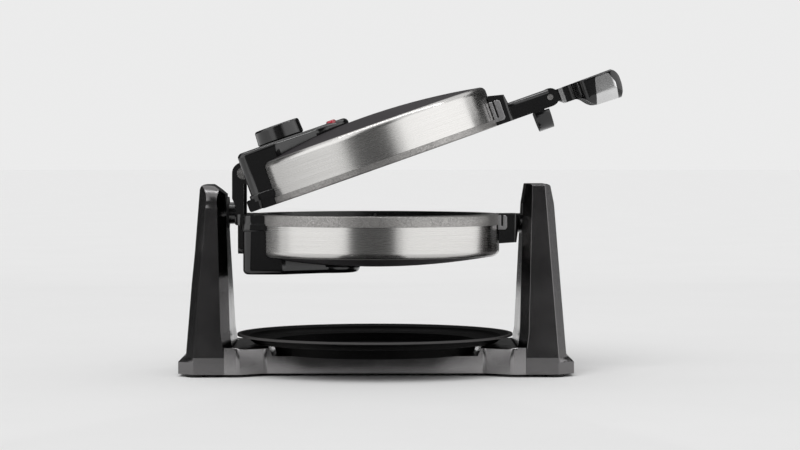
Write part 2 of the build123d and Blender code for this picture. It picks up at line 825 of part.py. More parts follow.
def make_tower(inner, outer, crown, corner, round_radius):
    """Drawn on the +X side. The hollow is closed from below by the bottom plate."""
    low = outer[0][0]
    top = axis_height + crown
    toe = [
        tower_section(inner, outer, z, flare=foot_flare) for z in (tower_foot_z, foot_flare_height)
    ]
    body = loft(toe + tower_shaft(inner, outer, top), ruled=True)
    body &= tower_end_view(crown, corner)
    body -= crown_round(outer, top, round_radius)
    ceiling = axis_height - journal_radius - journal_gap - liner_wall - tower_wall - 2
    hollow = loft(tower_shaft(inner, outer, ceiling, tower_wall), ruled=True)
    well = tower_section(inner, outer, low, tower_wall)
    hollow += extrude(well, amount=-(low - tower_foot_z))
    return body - hollow


def make_front_tower():
    tower = make_tower(
        front_inner, front_outer, front_tower_crown, front_tower_corner, front_crown_round
    )
    slot = journal_radius + journal_gap + liner_wall
    cut = rod_x(slot, 0, past_all, 0, axis_height)
    cut += box_between((0, -slot, axis_height), (past_all, slot, past_all))
    return tower - cut


def make_cradle_liner():
    """Low-friction strip bent round the floor of the front tower's open cradle."""
    bore = journal_radius + journal_gap
    x0 = tower_x(front_inner, axis_height) + liner_inset
    x1 = tower_x(front_outer, axis_height) - liner_inset
    half = rod_x(bore + liner_wall, x0, x1, 0, axis_height)
    half = half & box_between((x0, -past_all, 0), (x1, past_all, axis_height))
    legs = box_between(
        (x0, -bore - liner_wall, axis_height), (x1, bore + liner_wall, axis_height + 8.0)
    )
    room = rod_x(bore, x0 - 1, x1 + 1, 0, axis_height)
    room += box_between((x0 - 1, -bore, axis_height), (x1 + 1, bore, axis_height + 20))
    return half + legs - room


def make_rear_tower():
    tower = make_tower(
        rear_inner, rear_outer, rear_tower_crown, rear_tower_corner, rear_crown_round
    )
    tower -= rear_slope(axis_height + rear_tower_crown)
    bush_outer = trunnion_radius + trunnion_running_gap + bush_wall
    x0 = tower_x(rear_inner, axis_height)
    depth = trunnion_depth + bush_end_gap
    tower -= rod_x(bush_outer + seat_gap, 0, x0 + depth, 0, axis_height)
    tower -= rod_x(bush_outer + bush_lip + seat_gap, 0, x0, 0, axis_height)
    tower -= rod_y(gland_radius + seat_gap, 0, past_all, gland_place(), gland_height)
    return mirror(tower, Plane.YZ)


def gland_place():
    """Middle of the rear tower's width at the height of the cord gland."""
    return (tower_x(rear_inner, gland_height) + tower_x(rear_outer, gland_height)) / 2


def make_cord_gland():
    """Gland on the hidden side of the rear tower, where the mains lead enters."""
    face = tower_half_depth(gland_height - gland_radius - gland_lip)
    x = -gland_place()
    body = rod_y(gland_radius, face - gland_length, face, x, gland_height)
    collar = rod_y(gland_radius + gland_lip, face + seat_gap, face + gland_proud, x, gland_height)
    collar = fillet(collar.edges().sort_by(Axis.Y)[-1:], gland_proud / 2)
    body += rod_y(gland_radius, face - 1, face + 1, x, gland_height) + collar
    return body - rod_y(gland_bore, 0, past_all, x, gland_height)


def make_rear_bush():
    """Flanged bush that the rear pivot turns in."""
    bore = trunnion_radius + trunnion_running_gap
    x0 = tower_x(rear_inner, axis_height)
    bush = rod_x(bore + bush_wall, -x0 - trunnion_depth, -x0, 0, axis_height)
    bush += rod_x(bore + bush_wall + bush_lip, -x0, -x0 + bush_flange, 0, axis_height)
    return bush - rod_x(bore, -x0 - trunnion_depth - 1, 0, 0, axis_height)


def base_plan(inset=0.0):
    """Plan of the deck: a bar that widens towards the towers through slanted facets."""
    narrow, wide = deck_half_depth - inset, tower_half_depth_foot - inset
    lean = atan2(tower_half_depth_foot - deck_half_depth, facet_wide - facet_narrow)
    shift = inset * tan(lean / 2)
    quarter = [
        (facet_narrow + shift, narrow), (facet_wide + shift, wide), (tower_inner_foot - inset, wide),
    ]
    half = quarter + [(x, -y) for x, y in reversed(quarter)]
    return make_face(Polyline(*half, *[(-x, -y) for x, y in half], close=True))


def deck_ear(sx, sy):
    """Fills the slanted inner corner of a tower beside the deck."""
    x, y = tower_inner_foot, tower_half_depth_foot
    corner = Polyline(
        (sx * x, sy * (y - tower_corner_y)), (sx * x, sy * y), (sx * (x + tower_corner_x), sy * y),
        close=True,
    )
    return extrude(Pos(0, 0, tower_foot_z) * make_face(corner), amount=deck_top - tower_foot_z)


def make_channel():
    """Room in the deck for the drip tray's well, with walls that lean as the well does."""
    top_x, low_x = well_radius + well_room, well_radius - well_lean + well_room
    outline = Polyline(
        (-low_x, 0, channel_floor), (low_x, 0, channel_floor), (top_x, 0, deck_top),
        (top_x, 0, tray_rim_z), (-top_x, 0, tray_rim_z), (-top_x, 0, deck_top),
        close=True,
    )
    return extrude(make_face(outline), amount=past_all, dir=(0, 1, 0), both=True)


def make_deck():
    """Bar between the towers, with a channel from front to back that the drip tray sits in."""
    plan = base_plan()
    plan = fillet([v for v in plan.vertices() if abs(v.X) < tower_inner_foot - 1], facet_round)
    deck = extrude(Pos(0, 0, tower_foot_z) * plan, amount=deck_top - tower_foot_z)
    deck = fillet(
        deck.faces().sort_by(Axis.Z)[-1].edges().filter_by(Axis.Y, reverse=True), deck_edge
    )
    deck = deck + [deck_ear(sx, sy) for sx in (1, -1) for sy in (1, -1)]
    deck -= make_channel()
    deck -= extrude(
        Pos(0, 0, tower_foot_z) * base_plan(deck_wall),
        amount=channel_floor - deck_wall - tower_foot_z,
    )
    return deck


def make_bottom_plate():
    """Plate that closes the deck from below, set up inside its walls."""
    plan = base_plan(deck_wall + fit_gap)
    return extrude(Pos(0, 0, tower_foot_z) * plan, amount=bottom_plate_thickness)


def make_tower_plates():
    """Plates that close the two towers from below."""
    inset = tower_wall + fit_gap
    plates = []
    for inner, outer, turn in [(front_inner, front_outer, 0), (rear_inner, rear_outer, 180)]:
        section = tower_section(inner, outer, inner[0][0], inset)
        flat = Pos(0, 0, tower_foot_z - inner[0][0]) * section
        plates.append(Rot(0, 0, turn) * extrude(flat, amount=bottom_plate_thickness))
    return Compound(children=plates)


def foot_places():
    x = tower_inner_foot + foot_reach
    return [(sx * x, sy * foot_y) for sx in (1, -1) for sy in (1, -1)]


def make_feet():
    """Round rubber feet under the corners of the base."""
    foot = rod_z(foot_radius, 0, tower_foot_z)
    foot = chamfer(foot.edges().sort_by(Axis.Z)[:1], 0.6)
    return Compound(children=[Pos(x, y, 0) * foot for x, y in foot_places()])


def make_tray():
    """Drip tray: a wide dish over a deeper well, which sits in the deck's channel."""
    bottom = channel_floor + tray_floor_gap
    shelf = deck_top + 0.4
    rim_low = tray_rim_z - tray_wall
    well_inner = well_radius - well_lean - tray_wall
    edges = [
        Line((0, 0, bottom), (well_radius - well_lean, 0, bottom)),
        Line((well_radius - well_lean, 0, bottom), (well_radius, 0, shelf)),
        Line((well_radius, 0, shelf), (dish_radius - 3.0, 0, shelf + 0.6)),
        ThreePointArc(
            (dish_radius - 3.0, 0, shelf + 0.6),
            (dish_radius - 0.4, 0, shelf + 2.0),
            (dish_radius + 2.0, 0, shelf + 5.0),
        ),
        Line((dish_radius + 2.0, 0, shelf + 5.0), (tray_radius - 4.0, 0, rim_low)),
        Line((tray_radius - 4.0, 0, rim_low), (tray_radius, 0, rim_low + 0.4)),
        Line((tray_radius, 0, rim_low + 0.4), (tray_radius, 0, tray_rim_z)),
        Line((tray_radius, 0, tray_rim_z), (tray_radius - 4.4, 0, tray_rim_z)),
        Line((tray_radius - 4.4, 0, tray_rim_z), (dish_radius + 1.0, 0, shelf + 6.6)),
        ThreePointArc(
            (dish_radius + 1.0, 0, shelf + 6.6),
            (dish_radius - 1.4, 0, shelf + 4.0),
            (dish_radius - 5.0, 0, shelf + 2.8),
        ),
        Line((dish_radius - 5.0, 0, shelf + 2.8), (well_radius - 1.0, 0, shelf + 2.2)),
        Line((well_radius - 1.0, 0, shelf + 2.2), (well_inner, 0, tray_floor_z + 0.6)),
        Line((well_inner, 0, tray_floor_z + 0.6), (0, 0, tray_floor_z)),
        Line((0, 0, tray_floor_z), (0, 0, bottom)),
    ]
    return turned(edges)


save(make_front_tower(), "front_tower")
save(make_rear_tower(), "rear_tower")
save(make_deck(), "base_deck")
save(make_bottom_plate(), "bottom_plate")
save(make_tower_plates(), "tower_plates")
save(make_cord_gland(), "cord_gland")
save(make_feet(), "rubber_feet")
save(make_cradle_liner(), "cradle_liner")
save(make_rear_bush(), "rear_bush")

save(lower(make_pan(lower_rim_height)), "lower_pan")
save(lower(make_rim(lower_rim_height)), "lower_rim")
save(lower(make_plate()), "lower_plate")
save(lower(make_element()), "lower_element")
save(lower(make_lower_bracket()), "lower_bracket")
save(upper_closed(make_hinge_arms()), "hinge_arms")
save(upper_closed(make_hinge_pin()), "hinge_pin")
save(upper_closed(make_trunnion()), "rear_trunnion")
save(lower(make_lug(lug_face, lower_lug_height, lower_lug_drop)), "lower_lug")
save(upper_closed(make_front_journal()), "front_journal")

save(upper(make_upper_pan()), "upper_pan")
save(upper(make_rim(upper_rim_height)), "upper_rim")
save(upper(make_plate()), "upper_plate")
save(upper(make_element()), "upper_element")
save(upper(make_upper_bracket()), "upper_bracket")
save(upper(make_knuckle()), "hinge_knuckle")
save(upper(make_lug(upper_lug_face, upper_lug_height, upper_lug_drop)), "upper_lug")
save(upper(make_handle_bar()), "handle_bar")
save(upper(make_grip_pin()), "grip_pin")
save(upper(make_thermostat()), "thermostat")
save(upper(make_lamp(-1)), "power_lamp")
save(upper(make_lamp(1)), "ready_lamp")

save(upper(make_dial()), "dial_knob")
save(upper(make_dial_shaft()), "dial_shaft")
save(upper(make_grip()), "grip")
save(upper(Compound(children=[insert_form(1), insert_form(-1), band_form()])), "grip_inserts")
save(make_tray(), "drip_tray")
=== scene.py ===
import json
import math

import bmesh
import bpy
from mathutils import Matrix, Vector


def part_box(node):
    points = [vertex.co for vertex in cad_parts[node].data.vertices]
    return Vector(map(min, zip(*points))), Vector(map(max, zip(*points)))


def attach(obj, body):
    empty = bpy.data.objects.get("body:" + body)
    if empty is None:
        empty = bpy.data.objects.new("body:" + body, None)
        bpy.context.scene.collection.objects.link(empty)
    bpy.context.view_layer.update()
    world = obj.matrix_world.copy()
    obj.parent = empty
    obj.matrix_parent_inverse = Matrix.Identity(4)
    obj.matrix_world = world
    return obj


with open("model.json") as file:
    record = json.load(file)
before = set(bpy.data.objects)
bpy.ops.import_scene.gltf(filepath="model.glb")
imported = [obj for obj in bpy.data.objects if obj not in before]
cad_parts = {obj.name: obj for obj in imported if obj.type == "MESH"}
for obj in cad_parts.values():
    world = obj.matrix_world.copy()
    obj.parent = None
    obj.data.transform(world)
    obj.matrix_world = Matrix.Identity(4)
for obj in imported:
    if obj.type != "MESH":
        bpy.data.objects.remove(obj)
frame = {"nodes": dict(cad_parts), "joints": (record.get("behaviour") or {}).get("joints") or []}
scene = bpy.context.scene
nodes = frame["nodes"]
joints = {joint["name"]: joint for joint in frame["joints"]}


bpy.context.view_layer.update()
print("frame loaded:", len(nodes), "nodes")

# Places that several pieces share, in metres, read from the frame's joints
flipAxisZ = joints["head_flip"]["pos_m"][2]
hinge = Vector(joints["lid_hinge"]["pos_m"])
lidOpen = math.radians(joints["lid_hinge"]["range_deg"][1])
openLid = Matrix.Translation(hinge) @ Matrix.Rotation(-lidOpen, 4, "Y") @ Matrix.Translation(-hinge)
dialMiddle = openLid.inverted() @ Vector(joints["dial_turn"]["pos_m"])  # with the lid closed


# Shader helpers. A noise goes from its dark end to its light end within a spread.

white = (1.0, 1.0, 1.0)
fullRange = (0.0, 1.0)
noiseSpread = (0.3, 0.7)
smudgeSpread = (0.35, 0.65)
noiseDetail = {"grain": 2.0, "plain": 3.0, "cloud": 4.0, "smudge": 5.0}


def opaque(colour):
    return (*colour, 1.0)


def addNode(tree, kind, settings=None, sockets=None):
    node = tree.nodes.new("ShaderNode" + kind)
    for key, value in (settings or {}).items():
        setattr(node, key, value)
    for key, value in (sockets or {}).items():
        if isinstance(value, bpy.types.NodeSocket):
            tree.links.new(value, node.inputs[key])
        else:
            node.inputs[key].default_value = value
    return node


def newFinish(name, kind="BsdfPrincipled"):
    finish = bpy.data.materials.new(name)
    finish.use_nodes = True
    tree = finish.node_tree
    tree.nodes.clear()
    output = addNode(tree, "OutputMaterial")
    shader = addNode(tree, kind)
    tree.links.new(shader.outputs[0], output.inputs["Surface"])
    return finish, tree, shader


def setShader(shader, values):
    for socket, value in values.items():
        shader.inputs[socket].default_value = value


def feedShader(tree, shader, sources):
    for socket, source in sources.items():
        tree.links.new(source, shader.inputs[socket])


def objectPoint(tree):
    return addNode(tree, "TexCoord").outputs["Object"]


def noiseOf(tree, point, scale, detail="plain", roughness=0.55):
    sockets = {"Vector": point, "Scale": scale, "Detail": noiseDetail[detail], "Roughness": roughness}
    return addNode(tree, "TexNoise", sockets=sockets).outputs["Fac"]


def ramp(tree, factor, dark, light, spread=noiseSpread):
    made = addNode(tree, "ValToRGB", sockets={"Fac": factor})
    for element, place, colour in zip(made.color_ramp.elements, spread, (dark, light)):
        element.position = place
        element.color = opaque(colour)
    return made.outputs["Color"]


def mathOf(tree, operation, first, second=0.0):
    return addNode(tree, "Math", {"operation": operation}, {0: first, 1: second}).outputs[0]


def radiusOf(tree, x, y):
    squares = [mathOf(tree, "MULTIPLY", value, value) for value in (x, y)]
    return mathOf(tree, "SQRT", mathOf(tree, "ADD", *squares))


def rangeOf(tree, value, source, target=fullRange):
    sockets = {"Value": value, "From Min": source[0], "From Max": source[1],
               "To Min": target[0], "To Max": target[1]}
    return addNode(tree, "MapRange", sockets=sockets).outputs["Result"]


# The Mix node's inputs go by number: 2 and 3 are its numbers, 6 and 7 its colours.
def mixValue(tree, factor, first, second):
    return addNode(tree, "Mix", {"data_type": "FLOAT"}, {0: factor, 2: first, 3: second}).outputs[0]


def mixColour(tree, factor, first, second):
    return addNode(tree, "Mix", {"data_type": "RGBA"}, {0: factor, 6: first, 7: second}).outputs[2]


def separate(tree, point):
    return addNode(tree, "SeparateXYZ", sockets={"Vector": point}).outputs


def grainTones(tree, point, scale):
    grains = addNode(tree, "TexVoronoi", {"feature": "F1"}, {"Vector": point, "Scale": scale})
    return separate(tree, grains.outputs["Color"])


def bump(tree, shader, height, strength, distance):
    made = addNode(tree, "Bump", sockets={"Height": height, "Strength": strength, "Distance": distance})
    tree.links.new(made.outputs["Normal"], shader.inputs["Normal"])


# Moulded plastics and rubber, the metallic charcoal of towers and deck, and the dial's white print

plasticSettings = {
    "satinCharcoal": {
        "shader": {"Metallic": 1.0, "Specular IOR Level": 0.5},
        "cloudScale": 14.0, "dark": (0.163, 0.159, 0.161), "light": (0.186, 0.181, 0.183),
        "smudgeScale": 32.0, "roughness": (0.19, 0.24),
        "grainScale": 2400.0, "grainStrength": 0.16, "grainDepth": 0.0002,
    },
    "deckCharcoal": {
        "shader": {"Metallic": 1.0, "Specular IOR Level": 0.5},
        "cloudScale": 14.0, "dark": (0.325, 0.317, 0.320), "light": (0.355, 0.347, 0.349),
        "smudgeScale": 32.0, "roughness": (0.12, 0.17),
        "grainScale": 2400.0, "grainStrength": 0.16, "grainDepth": 0.0002,
    },
    "darkPlastic": {
        "shader": {"Specular IOR Level": 0.45},
        "cloudScale": 18.0, "dark": (0.014, 0.0135, 0.0135), "light": (0.019, 0.0185, 0.0185),
        "smudgeScale": 40.0, "roughness": (0.5, 0.6),
        "grainScale": 1800.0, "grainStrength": 0.3, "grainDepth": 0.0003,
    },
    "footRubber": {
        "shader": {"Specular IOR Level": 0.35},
        "cloudScale": 60.0, "dark": (0.009, 0.009, 0.009), "light": (0.014, 0.014, 0.014),
        "smudgeScale": 90.0, "roughness": (0.72, 0.85),
        "grainScale": 2600.0, "grainStrength": 0.4, "grainDepth": 0.0003,
    },
    "linerPlastic": {
        "shader": {"Specular IOR Level": 0.5},
        "cloudScale": 30.0, "dark": (0.048, 0.047, 0.046), "light": (0.062, 0.061, 0.06),
        "smudgeScale": 60.0, "roughness": (0.3, 0.42),
        "grainScale": 1500.0, "grainStrength": 0.12, "grainDepth": 0.0002,
    },
    "glossBlack": {
        "shader": {"Specular IOR Level": 0.55, "Coat Weight": 0.35, "Coat Roughness": 0.06},
        "cloudScale": 20.0, "dark": (0.0024, 0.0024, 0.0026), "light": (0.0038, 0.0037, 0.0039),
        "smudgeScale": 26.0, "roughness": (0.12, 0.22),
        "grainScale": 160.0, "grainStrength": 0.02, "grainDepth": 0.0004,
    },
    "whitePrint": {
        "shader": {"Specular IOR Level": 0.4},
        "cloudScale": 90.0, "dark": (0.60, 0.60, 0.59), "light": (0.70, 0.70, 0.69),
        "smudgeScale": 90.0, "roughness": (0.45, 0.6),
        "grainScale": 1200.0, "grainStrength": 0.05, "grainDepth": 0.0001,
    },
}


def mouldedPlastic(name, settings):
    finish, tree, shader = newFinish(name)
    setShader(shader, settings["shader"])
    point = objectPoint(tree)
    cloud = noiseOf(tree, point, settings["cloudScale"], "cloud")
    smudge = noiseOf(tree, point, settings["smudgeScale"], "smudge")
    feedShader(tree, shader, {
        "Base Color": ramp(tree, cloud, settings["dark"], settings["light"]),
        "Roughness": rangeOf(tree, smudge, smudgeSpread, settings["roughness"]),
    })
    grain = noiseOf(tree, point, settings["grainScale"], "grain")
    bump(tree, shader, grain, settings["grainStrength"], settings["grainDepth"])
    return finish


# Brushed steel: streaks run round the pan, so reflections smear along its axis. The domed face is
# dark charcoal and not metallic.

steelSettings = {
    "shader": {"Anisotropic": 0.8, "Specular IOR Level": 0.22},
    "side": (0.70, 0.69, 0.675), "sideDark": (0.58, 0.57, 0.555),
    "face": (0.040, 0.036, 0.039), "faceDark": (0.030, 0.027, 0.029),
    "streakScale": 2600.0, "streakRun": 9.0, "streakRoughness": 0.7,
    "brushStrength": 0.05, "brushDepth": 0.0002,
    "roughness": (0.22, 0.31), "faceRoughness": 0.58,
    "shoulder": 0.0352, "shoulderRun": 0.0006,  # from the level of the flip axis to where the face begins
}
steelHalves = {"lowerSteel": {"onLid": False}, "upperSteel": {"onLid": True}}


# The lid's coordinates are turned closed, so that the brushing follows its own axis.
def halfPoint(tree, onLid):
    point = objectPoint(tree)
    if not onLid:
        return point
    sockets = {"Vector": point, "Center": tuple(hinge), "Angle": lidOpen}
    return addNode(tree, "VectorRotate", {"rotation_type": "Y_AXIS"}, sockets).outputs["Vector"]


def halfAxis(tree, onLid):
    tilt = lidOpen if onLid else 0.0
    along = addNode(tree, "CombineXYZ", sockets={0: -math.sin(tilt), 2: math.cos(tilt)}).outputs[0]
    settings = {"vector_type": "VECTOR", "convert_from": "OBJECT", "convert_to": "WORLD"}
    return addNode(tree, "VectorTransform", settings, {"Vector": along}).outputs[0]


def brushedSteel(name, half):
    finish, tree, shader = newFinish(name)
    steel = steelSettings
    setShader(shader, steel["shader"])
    x, y, z = separate(tree, halfPoint(tree, half["onLid"]))
    height = mathOf(tree, "ABSOLUTE", mathOf(tree, "SUBTRACT", z, flipAxisZ))
    onFace = rangeOf(tree, height, (steel["shoulder"], steel["shoulder"] + steel["shoulderRun"]))
    squeeze = steel["streakScale"] / steel["streakRun"]
    acrossSide = mathOf(tree, "MULTIPLY", height, squeeze)
    acrossFace = mathOf(tree, "MULTIPLY", radiusOf(tree, x, y), squeeze)
    across = mixValue(tree, onFace, acrossSide, acrossFace)
    brushPoint = addNode(tree, "CombineXYZ", sockets={0: x, 1: y, 2: across}).outputs[0]
    streak = noiseOf(tree, brushPoint, steel["streakRun"], "cloud", steel["streakRoughness"])
    side = ramp(tree, streak, steel["sideDark"], steel["side"])
    face = ramp(tree, streak, steel["faceDark"], steel["face"])
    sideRoughness = rangeOf(tree, streak, noiseSpread, steel["roughness"])
    feedShader(tree, shader, {
        "Base Color": mixColour(tree, onFace, side, face),
        "Metallic": mathOf(tree, "SUBTRACT", 1.0, onFace),
        "Roughness": mixValue(tree, onFace, sideRoughness, steel["faceRoughness"]),
        "Tangent": halfAxis(tree, half["onLid"]),
    })
    bump(tree, shader, streak, steel["brushStrength"], steel["brushDepth"])
    return finish


# Cast rims and latch tabs: grey, with bright flecks and dark pits, under a clear lacquer

castSettings = {
    "speckledCast": {
        "shader": {"Metallic": 0.8, "Specular IOR Level": 0.5, "Coat Weight": 0.1, "Coat Roughness": 0.3},
        "dark": (0.27, 0.262, 0.255), "light": (0.37, 0.36, 0.35),
        "fleck": (0.66, 0.64, 0.63), "pit": (0.06, 0.06, 0.061),
        "fleckScale": 2400.0, "fleckShare": 0.55, "pitShare": 0.6, "roughness": (0.52, 0.36),
    },
    "castTab": {
        "shader": {"Metallic": 0.9, "Specular IOR Level": 0.5, "Coat Weight": 0.1, "Coat Roughness": 0.3},
        "dark": (0.34, 0.335, 0.34), "light": (0.42, 0.415, 0.42),
        "fleck": (0.6, 0.6, 0.6), "pit": (0.14, 0.14, 0.14),
        "fleckScale": 2600.0, "fleckShare": 0.3, "pitShare": 0.3, "roughness": (0.46, 0.34),
    },
}
castGrain = {
    "cloudScale": 70.0, "fleckTones": (0.86, 0.9), "pitTones": (0.16, 0.1),
    "roughScale": 420.0, "strength": 0.12, "depth": 0.0002,
}


def speckledCast(name, settings):
    finish, tree, shader = newFinish(name)
    setShader(shader, settings["shader"])
    point = objectPoint(tree)
    cloud = noiseOf(tree, point, castGrain["cloudScale"], "cloud")
    colour = ramp(tree, cloud, settings["dark"], settings["light"])
    tone = grainTones(tree, point, settings["fleckScale"])[0]
    for kind in ("fleck", "pit"):
        found = rangeOf(tree, tone, castGrain[kind + "Tones"])
        amount = mathOf(tree, "MULTIPLY", found, settings[kind + "Share"])
        colour = mixColour(tree, amount, colour, opaque(settings[kind]))
    roughness = rangeOf(tree, tone, fullRange, settings["roughness"])
    feedShader(tree, shader, {"Base Color": colour, "Roughness": roughness})
    height = mathOf(tree, "SUBTRACT", tone, noiseOf(tree, point, castGrain["roughScale"]))
    bump(tree, shader, height, castGrain["strength"], castGrain["depth"])
    return finish


# Coated plates and tray. The tray's outer rim is painted paler, a painted highlight.

coatSettings = {
    "nonStick": {
        "shader": {"Specular IOR Level": 0.5, "Coat Weight": 0.12, "Coat Roughness": 0.25},
        "dark": (0.0105, 0.0102, 0.0102), "light": (0.017, 0.0165, 0.0165),
        "sparkle": (0.11, 0.11, 0.11), "sparkleFrom": 0.955, "roughness": (0.3, 0.42),
    },
    "trayEnamel": {
        "shader": {"Specular IOR Level": 0.06},
        "dark": (0.0030, 0.0029, 0.0029), "light": (0.0046, 0.0044, 0.0045),
        "sparkle": (0.016, 0.016, 0.016), "sparkleFrom": 0.975, "roughness": (0.42, 0.55),
        # the paler colour on the outer rim is a painted highlight
        "paintedRimHighlight": (0.070, 0.068, 0.068), "paintedHighlightFrom": 0.1128, "paintedHighlightRun": 0.0012,
    },
}
coatGrain = {
    "cloudScale": 26.0, "sparkleScale": 1500.0, "sparkleRun": 0.01, "smudgeScale": 55.0,
    "scale": 520.0, "strength": 0.06, "depth": 0.0004,
}


def coatedMetal(name, settings):
    finish, tree, shader = newFinish(name)
    setShader(shader, settings["shader"])
    point = objectPoint(tree)
    cloud = noiseOf(tree, point, coatGrain["cloudScale"], "cloud")
    ground = ramp(tree, cloud, settings["dark"], settings["light"])
    tone = grainTones(tree, point, coatGrain["sparkleScale"])[1]
    start = settings["sparkleFrom"]
    sparkles = rangeOf(tree, tone, (start, start + coatGrain["sparkleRun"]))
    colour = mixColour(tree, sparkles, ground, opaque(settings["sparkle"]))
    # Paint the outer rim paler: a painted highlight.
    if "paintedRimHighlight" in settings:
        x, y = separate(tree, point)[:2]
        rim = settings["paintedHighlightFrom"]
        edge = rangeOf(tree, radiusOf(tree, x, y), (rim, rim + settings["paintedHighlightRun"]))
        colour = mixColour(tree, edge, colour, opaque(settings["paintedRimHighlight"]))
    smudge = noiseOf(tree, point, coatGrain["smudgeScale"], "cloud")
    roughness = rangeOf(tree, smudge, noiseSpread, settings["roughness"])
    feedShader(tree, shader, {"Base Color": colour, "Roughness": roughness})
    grain = noiseOf(tree, point, coatGrain["scale"], "grain")
    bump(tree, shader, grain, coatGrain["strength"], coatGrain["depth"])
    return finish


# Bare metals: the pins and screws, the heater tubes and the silver trim

metalSettings = {
    "pinSteel": {
        "dark": (0.42, 0.41, 0.4), "light": (0.56, 0.55, 0.54), "roughness": (0.2, 0.34), "scale": 300.0,
    },
    "heaterSteel": {
        "dark": (0.11, 0.1, 0.095), "light": (0.24, 0.21, 0.18), "roughness": (0.38, 0.56), "scale": 60.0,
    },
    "silverTrim": {
        "dark": (0.7, 0.7, 0.7), "light": (0.8, 0.8, 0.8), "roughness": (0.2, 0.28), "scale": 45.0,
    },
}
metalGrain = {
    "shader": {"Metallic": 1.0, "Specular IOR Level": 0.5},
    "scale": 300.0, "strength": 0.02, "depth": 0.0002,
}


def bareMetal(name, settings):
    finish, tree, shader = newFinish(name)
    setShader(shader, metalGrain["shader"])
    point = objectPoint(tree)
    stain = noiseOf(tree, point, settings["scale"], "smudge")
    feedShader(tree, shader, {
        "Base Color": ramp(tree, stain, settings["dark"], settings["light"]),
        "Roughness": rangeOf(tree, stain, noiseSpread, settings["roughness"]),
    })
    grain = noiseOf(tree, point, metalGrain["scale"], "grain")
    bump(tree, shader, grain, metalGrain["strength"], metalGrain["depth"])
    return finish


# Lamp lenses: tinted clear plastic, cloudy and brighter where it is seen face on

lensSettings = {
    "redLens": {"rim": (0.30, 0.004, 0.014), "core": (0.62, 0.03, 0.06)},
    "greenLens": {"rim": (0.012, 0.10, 0.02), "core": (0.05, 0.28, 0.07)},
}
lensPlastic = {
    "shader": {
        "Roughness": 0.12, "IOR": 1.49, "Transmission Weight": 0.25,
        "Coat Weight": 0.5, "Coat Roughness": 0.04,
    },
    "blend": 0.4, "cloudScale": 900.0, "cloudShare": 0.2, "spread": (0.2, 0.9),
}


def tintedLens(name, settings):
    finish, tree, shader = newFinish(name)
    setShader(shader, lensPlastic["shader"])
    facing = addNode(tree, "LayerWeight", sockets={"Blend": lensPlastic["blend"]}).outputs["Facing"]
    cloud = noiseOf(tree, objectPoint(tree), lensPlastic["cloudScale"])
    clouded = mathOf(tree, "ADD", facing, mathOf(tree, "MULTIPLY", cloud, lensPlastic["cloudShare"]))
    colour = ramp(tree, clouded, settings["core"], settings["rim"], lensPlastic["spread"])
    feedShader(tree, shader, {"Base Color": colour})
    return finish


def makeFinishes():
    families = [
        (mouldedPlastic, plasticSettings), (brushedSteel, steelHalves), (speckledCast, castSettings),
        (coatedMetal, coatSettings), (bareMetal, metalSettings), (tintedLens, lensSettings),
    ]
    return {name: make(name, settings) for make, family in families for name, settings in family.items()}


finishes = makeFinishes()

nodeFinishes = {
    "satinCharcoal": ["front_tower", "rear_tower"],
    "deckCharcoal": ["base_deck"],
    "darkPlastic": ["bottom_plate", "tower_plates", "thermostat", "cord_gland", "rear_bush"],
    "footRubber": ["rubber_feet"],
    "linerPlastic": ["cradle_liner"],
    "glossBlack": ["lower_bracket", "upper_bracket", "hinge_arms", "hinge_knuckle", "lower_lug", "upper_lug",
                   "front_journal", "handle_bar", "dial_knob", "grip", "rear_trunnion"],
    "lowerSteel": ["lower_pan"],
    "upperSteel": ["upper_pan"],
    "speckledCast": ["lower_rim", "upper_rim"],
    "nonStick": ["lower_plate", "upper_plate"],
    "trayEnamel": ["drip_tray"],
    "heaterSteel": ["lower_element", "upper_element"],
    "pinSteel": ["hinge_pin", "grip_pin", "dial_shaft"],
    "silverTrim": ["grip_inserts"],
    "redLens": ["power_lamp"],
    "greenLens": ["ready_lamp"],
}


def dressNodes():
    for finishName, names in nodeFinishes.items():
        for name in names:
            mesh = nodes[name].data
            mesh.materials.clear()
            mesh.materials.append(finishes[finishName])
    left = sorted(set(nodes) - {name for names in nodeFinishes.values() for name in names})
    print("finishes on the nodes, left bare:", left)


dressNodes()


# Soft edges: the moulded pieces get a small round on every sharp corner. Points that coincide are
# joined and flat stretches made one face first, so that the rounds run on.

edgeRounds = {
    "front_tower": 0.0009, "rear_tower": 0.0009, "base_deck": 0.0009, "hinge_arms": 0.0006,
    "handle_bar": 0.0006, "upper_bracket": 0.0005, "lower_bracket": 0.0005, "lower_lug": 0.0006,
    "upper_lug": 0.0006, "front_journal": 0.0004, "hinge_knuckle": 0.0004,
    "bottom_plate": 0.0004, "cradle_liner": 0.0003,
}
edgeShape = {"weld": 0.000002, "flat": 0.4, "segments": 2, "corner": 28.0}  # metres and degrees


def roundCorners(piece, width, segments, corner):
    edge = piece.modifiers.new("edge", "BEVEL")
    edge.width = width
    edge.segments = segments
    edge.limit_method = "ANGLE"
    edge.angle_limit = math.radians(corner)
    return edge


def softenEdges():
    for name, width in edgeRounds.items():
        piece = nodes[name]
        weld = piece.modifiers.new("weld", "WELD")
        weld.merge_threshold = edgeShape["weld"]
        flat = piece.modifiers.new("flat", "DECIMATE")
        flat.decimate_type = "DISSOLVE"
        flat.angle_limit = math.radians(edgeShape["flat"])
        edge = roundCorners(piece, width, edgeShape["segments"], edgeShape["corner"])
        edge.harden_normals = True
        edge.use_clamp_overlap = True


softenEdges()
print("edges rounded")


# Pieces too small for the CAD model. Those on the lid are drawn closed and turned open.

def meshOf(name, form):
    mesh = bpy.data.meshes.new(name)
    form.to_mesh(mesh)
    form.free()
    return mesh


def addObject(name, data):
    piece = bpy.data.objects.new(name, data)
    scene.collection.objects.link(piece)
    return piece


def placePiece(piece, finishName, body, onLid):
    piece.data.materials.append(finishes[finishName])
    if onLid:
        piece.matrix_world = openLid @ piece.matrix_basis
    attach(piece, body)
    return piece


